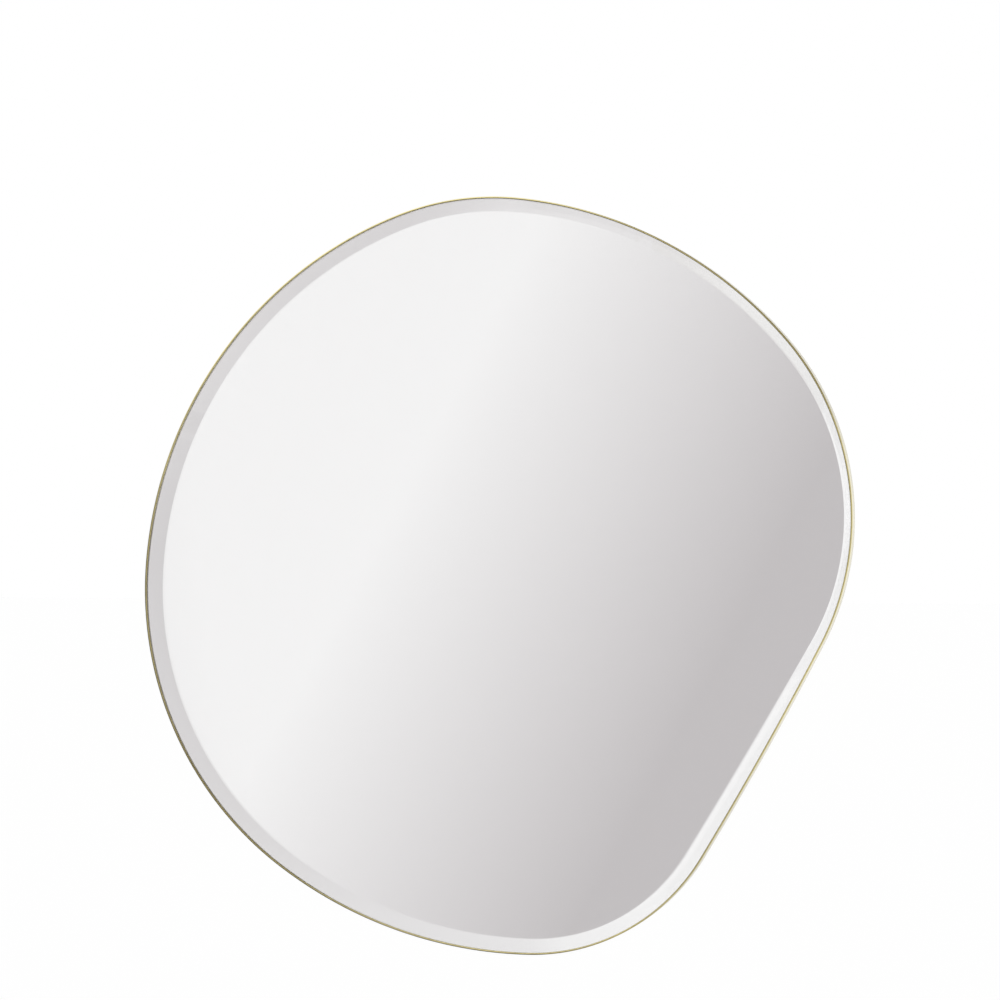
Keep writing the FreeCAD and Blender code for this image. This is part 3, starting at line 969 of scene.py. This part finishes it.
def screw_pattern(settings):
    """A countersunk screw, its head face at y = 0 and its point towards -Y, with a cross recess."""
    head = settings.screw_head
    shank = settings.screw_shank
    end = -settings.screw_length
    chamfer = 0.00012
    land = 0.00025
    blend_out = 0.0002
    blend_down = 0.0003
    point = 0.0018
    tip = 0.0003
    tip_share = 0.35
    neck = -(head - shank) - land
    profile = (
        (0, 0),
        (head * 0.5, 0),
        (head - chamfer, 0),
        (head, -chamfer),
        (head, -land),
        (shank + blend_out, neck + blend_out),
        (shank, neck - blend_down),
        (shank, end + point),
        (shank * tip_share, end + tip),
        (0, end),
    )
    screw = new_object(
        "screw_pattern", mesh_from("screw_pattern", lambda shape: lathe(shape, profile, 40))
    )
    cutters = []
    for turned in (False, True):
        arm = mesh_from("recess_arm", lambda shape: fill_wedge(shape, turned))
        cutter = new_object("recess_arm", arm)
        cut = screw.modifiers.new("Recess", "BOOLEAN")
        cut.operation = "DIFFERENCE"
        cut.solver = "EXACT"
        cut.object = cutter
        cutters.append(cutter)
    baked(screw)
    for cutter in cutters:
        bpy.data.objects.remove(cutter)
    smooth(screw.data, 30)
    return screw


class MIRROR_OT_screws(bpy.types.Operator):
    """Make the screws of the rim and of the hanger plates"""

    bl_idname = "pebble_mirror.screws"
    bl_label = "Screws"

    def execute(self, context):
        settings = context.scene.pebble_mirror
        steel = steel_material("Plated steel screw", settings.back.screw)
        pattern = screw_pattern(settings.back)
        arcs = line_arcs(OUTLINE)
        rim_points = []
        for arc, degrees in RIM_FIXINGS:
            point = line_point(arcs[arc], FLANGE_MIDDLE, math.radians(degrees))
            rim_points.append((point.x * MM, -settings.rim.back, point.y * MM))
        plate_points = [(x * MM, 0, z * MM) for x in HANGER_X for z in PLATE_SCREW_Z]
        tree = scatter_tree()
        for name, points, node in (
            ("rim_screw_row", rim_points, "rim_screws"),
            ("hanger_screw_set", plate_points, "hanger_screws"),
        ):
            screws = grown(
                name,
                raw_mesh(name, points),
                tree,
                {
                    "Pattern": pattern,
                    "Turn": math.tau,
                    "Seed": settings.back.turn_seed,
                    "Material": steel,
                },
            )
            dress(screws, [node])
        bpy.data.objects.remove(pattern)
        return {"FINISHED"}


class MIRROR_OT_hangers(bpy.types.Operator):
    """Make the keyhole plates, with softened edges"""

    bl_idname = "pebble_mirror.hangers"
    bl_label = "Hanger plates"

    def execute(self, context):
        settings = context.scene.pebble_mirror.back
        steel = steel_material("Plated steel plate", settings.plate)
        for side in ("left", "right"):
            node = "hanger_plate_" + side
            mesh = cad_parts[node].data.copy()
            shape = bmesh.new()
            shape.from_mesh(mesh)
            bmesh.ops.remove_doubles(shape, verts=shape.verts, dist=MERGE)
            bmesh.ops.dissolve_limit(
                shape, angle_limit=math.radians(1), verts=shape.verts, edges=shape.edges
            )
            shape.to_mesh(mesh)
            shape.free()
            mesh.materials.clear()
            mesh.materials.append(steel)
            plate = new_object("keyhole_plate_" + side, mesh)
            edge = plate.modifiers.new("Edge", "BEVEL")
            edge.width = settings.plate_edge
            edge.segments = 2
            edge.limit_method = "ANGLE"
            edge.angle_limit = math.radians(30)
            baked(plate)
            smooth(plate.data, 40)
            dress(plate, [node])
        return {"FINISHED"}


def felt_pattern(settings):
    """A square felt pad with soft edges and an uneven, fibrous surface; its back is at y = 0."""
    side = settings.pad_side
    thick = settings.pad_thickness
    edge_round = 0.0004
    fibre_scale = 900
    deepest_dent = 0.00012

    def build(shape):
        bmesh.ops.create_cube(shape, size=1)
        bmesh.ops.scale(shape, vec=(side, thick, side), verts=shape.verts)
        bmesh.ops.bevel(
            shape, geom=shape.edges[:], offset=edge_round, segments=3, profile=0.5, affect="EDGES"
        )
        long_edges = [edge for edge in shape.edges if edge.calc_length() > side / 2]
        bmesh.ops.subdivide_edges(shape, edges=long_edges, cuts=24, use_grid_fill=True)
        shape.normal_update()
        for vert in shape.verts:
            dent = 0.5 + 0.5 * noise.noise(vert.co * fibre_scale)
            vert.co -= vert.normal * dent * deepest_dent
            vert.co.y -= thick / 2

    pad = new_object("felt_pattern", mesh_from("felt_pattern", build))
    smooth(pad.data, 50)
    return pad


class MIRROR_OT_pads(bpy.types.Operator):
    """Make the felt wall pads"""

    bl_idname = "pebble_mirror.pads"
    bl_label = "Wall pads"

    def execute(self, context):
        settings = context.scene.pebble_mirror.back
        pattern = felt_pattern(settings)
        pads = grown(
            "felt_pads",
            raw_mesh("felt_pads", [(x * MM, 0, z * MM) for x, z in PAD_PLACES]),
            scatter_tree(),
            {"Pattern": pattern, "Turn": 0.0, "Seed": 0, "Material": felt_material(settings)},
        )
        bpy.data.objects.remove(pattern)
        places = ("top_left", "top_right", "bottom_left", "bottom_right")
        dress(pads, ["wall_pad_" + place for place in places])
        return {"FINISHED"}


class MIRROR_OT_board(bpy.types.Operator):
    """Finish the fibreboard back and the mounting tape"""

    bl_idname = "pebble_mirror.board"
    bl_label = "Board and tape"

    def execute(self, context):
        settings = context.scene.pebble_mirror.back
        set_node_materials(["backing_board"], board_material(settings))
        tapes = [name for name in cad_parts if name.startswith("tape_strip_")]
        set_node_materials(tapes, tape_material(settings))
        return {"FINISHED"}


# Stage


def seen_directly(tree):
    """1 for rays from the camera, from a reflection and through glass, 0 for light on surfaces."""
    rays = add_node(tree, "ShaderNodeLightPath").outputs
    seen = calc(tree, "MAXIMUM", rays["Is Camera Ray"], rays["Is Glossy Ray"])
    return calc(tree, "MAXIMUM", seen, rays["Is Transmission Ray"])


def make_world(context, stage):
    """White where it is seen, and an even plain light on surfaces."""
    world = bpy.data.worlds.new("Studio")
    context.scene.world = world
    tree = blank_tree(world)
    strength = blended(tree, seen_directly(tree), stage.ambient, 1.0)
    sky = add_node(tree, "ShaderNodeBackground", {"Color": WHITE, "Strength": strength}).outputs[0]
    add_node(tree, "ShaderNodeOutputWorld", {"Surface": sky})


def make_floor(stage):
    """A wide pale floor, lifted to white where it is seen, so that it keeps only a shadow.

    Its underside lets the view through, for a look at the mirror from below.
    """
    corners = [(x * FLOOR_REACH, y * FLOOR_REACH, stage.floor) for x, y in SQUARE]
    mesh = raw_mesh("floor", corners, faces=[(0, 1, 2, 3)])
    material, tree, sided = new_material("Pale floor", "ShaderNodeMixShader")
    matt = add_node(tree, "ShaderNodeBsdfDiffuse", {"Color": FLOOR_GREY}).outputs[0]
    lift = calc(tree, "MULTIPLY", seen_directly(tree), FLOOR_LIFT)
    white = add_node(tree, "ShaderNodeEmission", {"Color": WHITE, "Strength": lift}).outputs[0]
    both = add_node(tree, "ShaderNodeAddShader", {0: matt, 1: white}).outputs[0]
    clear = add_node(tree, "ShaderNodeBsdfTransparent").outputs[0]
    below = add_node(tree, "ShaderNodeNewGeometry").outputs["Backfacing"]
    plug(tree, sided, {0: below, 1: both, 2: clear})
    mesh.materials.append(material)
    new_object("floor", mesh)


def grid_faces(rows, columns):
    """Faces between neighbouring points of a grid that is listed row by row."""
    faces = []
    for row in range(rows):
        for column in range(columns):
            corner = row * (columns + 1) + column
            faces.append((corner, corner + columns + 1, corner + columns + 2, corner + 1))
    return faces


def make_surround(stage):
    """The curved studio wall in front of the mirror, which shows only in its reflection."""
    rows = 32
    columns = 48
    points = []
    for row in range(rows + 1):
        tilt = math.radians(part_way(*WALL_TILTS, row, rows))
        for column in range(columns + 1):
            turn = math.radians(part_way(*WALL_TURNS, column, columns))
            way = Vector(
                (math.cos(tilt) * math.sin(turn), -math.cos(tilt) * math.cos(turn), math.sin(tilt))
            )
            points.append(Vector(MIDDLE) + way * stage.surround)
    mesh = raw_mesh("studio_wall", points, faces=grid_faces(rows, columns))
    material, tree, light = new_material("Studio wall", "ShaderNodeEmission")
    way = vector_calc(tree, "NORMALIZE", vector_calc(tree, "SUBTRACT", own_place(tree), MIDDLE))
    slant = vector_calc(tree, "DOT_PRODUCT", way, WALL_SLANT)
    lit = ranged(tree, slant, *LIT_TO_SHADED, 1.0, 0.0)
    front = ranged(tree, lit, 0.0, 1.0, stage.wall_shade, stage.wall_light)
    split = add_node(tree, "ShaderNodeSeparateXYZ", {0: way}).outputs
    window = ranged(tree, split[0], *WINDOW_EDGE)
    strength = blended(tree, window, front, stage.wall_window)
    strength = blended(tree, ranged(tree, split[2], *FOOT_EDGE), strength, 1.0)
    tone = mixed(tree, lit, rgba(stage.wall_tone), WHITE)
    plug(tree, light, {"Color": tone, "Strength": strength})
    mesh.materials.append(material)
    show_in_reflections_only(new_object("studio_wall", mesh))


def make_cards():
    """Curved cards round the mirror, which fade to white at their edges.

    The rim reflects them, and the front of the glass does so only faintly. They glow and show
    only in reflections, where they paint dark, ochre and bright reflections into the rim.
    """
    turns = 32
    rows = 8
    for name, first, last, near, far, tone, strength in REFLECTED_CARDS:
        points = []
        shares = []
        for turn in range(turns + 1):
            angle = math.radians(part_way(first, last, turn, turns))
            out = Vector((math.cos(angle), 0, math.sin(angle))) * CARD_RADIUS
            for row in range(rows + 1):
                depth = part_way(near, far, row, rows)
                points.append(Vector(MIDDLE) + out - Vector((0, depth, 0)))
                side = min(turn, turns - turn) / turns
                end = min(row, rows - row) / rows
                shares.append(min(1, side / CARD_FADE) * min(1, end / CARD_FADE))
        mesh = raw_mesh(name, points, faces=grid_faces(turns, rows))
        mesh.attributes.new("Share", "FLOAT", "POINT").data.foreach_set("value", shares)
        # Painted reflections: each card glows in its colour, dark, ochre or bright, and fades to
        # white at its edges.
        material, tree, light = new_material(name, "ShaderNodeEmission")
        share = add_node(tree, "ShaderNodeAttribute", attribute_name="Share").outputs["Fac"]
        faded = ranged(tree, share, 0.0, 1.0, 1.0, strength)
        plug(tree, light, {"Color": mixed(tree, share, WHITE, tone), "Strength": faded})
        mesh.materials.append(material)
        card = new_object(name, mesh)
        card.visible_transmission = False
        show_in_reflections_only(card)


def show_in_reflections_only(piece):
    piece.visible_camera = False
    piece.visible_diffuse = False
    piece.visible_shadow = False
    piece.visible_volume_scatter = False


def make_key(context, stage):
    """A soft key from the upper left."""
    lamp = bpy.data.lights.new("key", "SUN")
    lamp.energy = stage.key
    lamp.angle = math.radians(40)
    key = bpy.data.objects.new("key", lamp)
    key.rotation_euler = (math.radians(48), math.radians(-18), 0)
    context.scene.collection.objects.link(key)


def make_camera(context, stage):
    """The photograph's view: level, and turned to the right of square."""
    lens = bpy.data.cameras.new("camera")
    lens.lens = stage.lens
    lens.sensor_width = 36
    lens.clip_end = 200
    camera = bpy.data.objects.new("camera", lens)
    away = Vector((math.sin(stage.azimuth), -math.cos(stage.azimuth), 0))
    camera.location = Vector(stage.aim) + away * stage.distance
    camera.rotation_euler = (math.pi / 2, 0, stage.azimuth)
    context.scene.collection.objects.link(camera)
    context.scene.camera = camera


class MIRROR_OT_stage(bpy.types.Operator):
    """Set the camera, the floor, the studio wall and the light"""

    bl_idname = "pebble_mirror.stage"
    bl_label = "Stage"

    def execute(self, context):
        stage = context.scene.pebble_mirror.stage
        make_camera(context, stage)
        make_world(context, stage)
        make_key(context, stage)
        make_floor(stage)
        make_surround(stage)
        make_cards()
        context.scene.view_settings.view_transform = "Standard"
        return {"FINISHED"}


class MIRROR_PT_panel(bpy.types.Panel):
    """Settings and pieces of the pebble mirror"""

    bl_idname = "MIRROR_PT_panel"
    bl_label = "Pebble mirror"
    bl_space_type = "VIEW_3D"
    bl_region_type = "UI"
    bl_category = "Pebble mirror"

    def draw(self, context):
        settings = context.scene.pebble_mirror
        for group in (settings.glass, settings.rim, settings.back, settings.stage):
            box = self.layout.box()
            for name in group.bl_rna.properties.keys():
                if name not in ("rna_type", "name"):
                    box.prop(group, name)
        for operator in OPERATORS:
            self.layout.operator(operator.bl_idname)


OPERATORS = (
    MIRROR_OT_glass,
    MIRROR_OT_silver,
    MIRROR_OT_rim,
    MIRROR_OT_screws,
    MIRROR_OT_hangers,
    MIRROR_OT_pads,
    MIRROR_OT_board,
    MIRROR_OT_stage,
)

SETTINGS = (GlassSettings, RimSettings, BackSettings, StageSettings, PebbleMirror)


def register():
    for item in SETTINGS + OPERATORS + (MIRROR_PT_panel,):
        bpy.utils.register_class(item)
    bpy.types.Scene.pebble_mirror = PointerProperty(type=PebbleMirror)


def unregister():
    del bpy.types.Scene.pebble_mirror
    for item in reversed(SETTINGS + OPERATORS + (MIRROR_PT_panel,)):
        bpy.utils.unregister_class(item)


def main():
    register()
    bpy.ops.pebble_mirror.glass()
    bpy.ops.pebble_mirror.silver()
    bpy.ops.pebble_mirror.rim()
    bpy.ops.pebble_mirror.screws()
    bpy.ops.pebble_mirror.hangers()
    bpy.ops.pebble_mirror.pads()
    bpy.ops.pebble_mirror.board()
    bpy.ops.pebble_mirror.stage()


if __name__ == "__main__":
    main()
